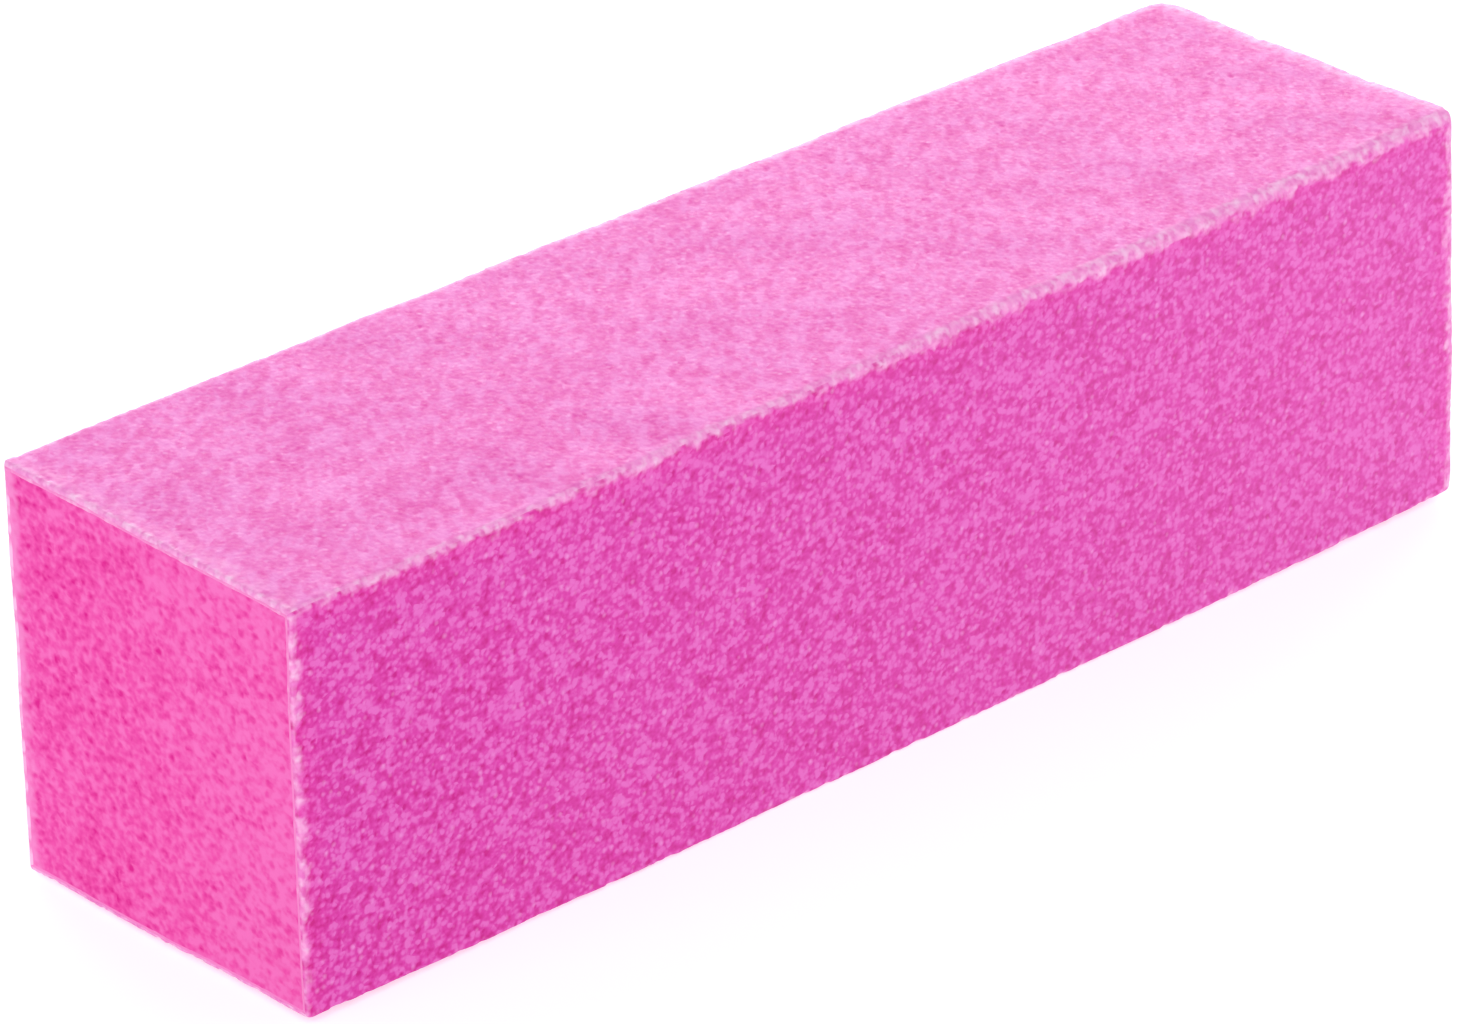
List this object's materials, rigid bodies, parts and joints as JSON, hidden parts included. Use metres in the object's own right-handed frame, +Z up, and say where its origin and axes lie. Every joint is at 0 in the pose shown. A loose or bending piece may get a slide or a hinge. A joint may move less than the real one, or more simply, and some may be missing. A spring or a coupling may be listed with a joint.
{
  "type": "nail buffer block",
  "caption": "Rectangular foam block with abrasive grit bonded to its long faces and bare foam ends, used by hand to file and smooth nails.",
  "frame": {"origin": "centre of the bottom face, the one the block rests on", "axes": "+X along the block's length, +Y across its width, +Z up out of the top face"},
  "size_m": [0.095, 0.0256, 0.0267],
  "materials": {
    "foam": "matte",
    "bond_resin": "satin",
    "abrasive_grit": "matte"
  },
  "bodies": {
    "root": {"foam_core": "foam", "top_bond_coat": "bond_resin", "top_grit_coat": "abrasive_grit", "back_bond_coat": "bond_resin", "back_grit_coat": "abrasive_grit", "bottom_bond_coat": "bond_resin", "bottom_grit_coat": "abrasive_grit", "front_bond_coat": "bond_resin", "front_grit_coat": "abrasive_grit"}
  },
  "joints": []
}
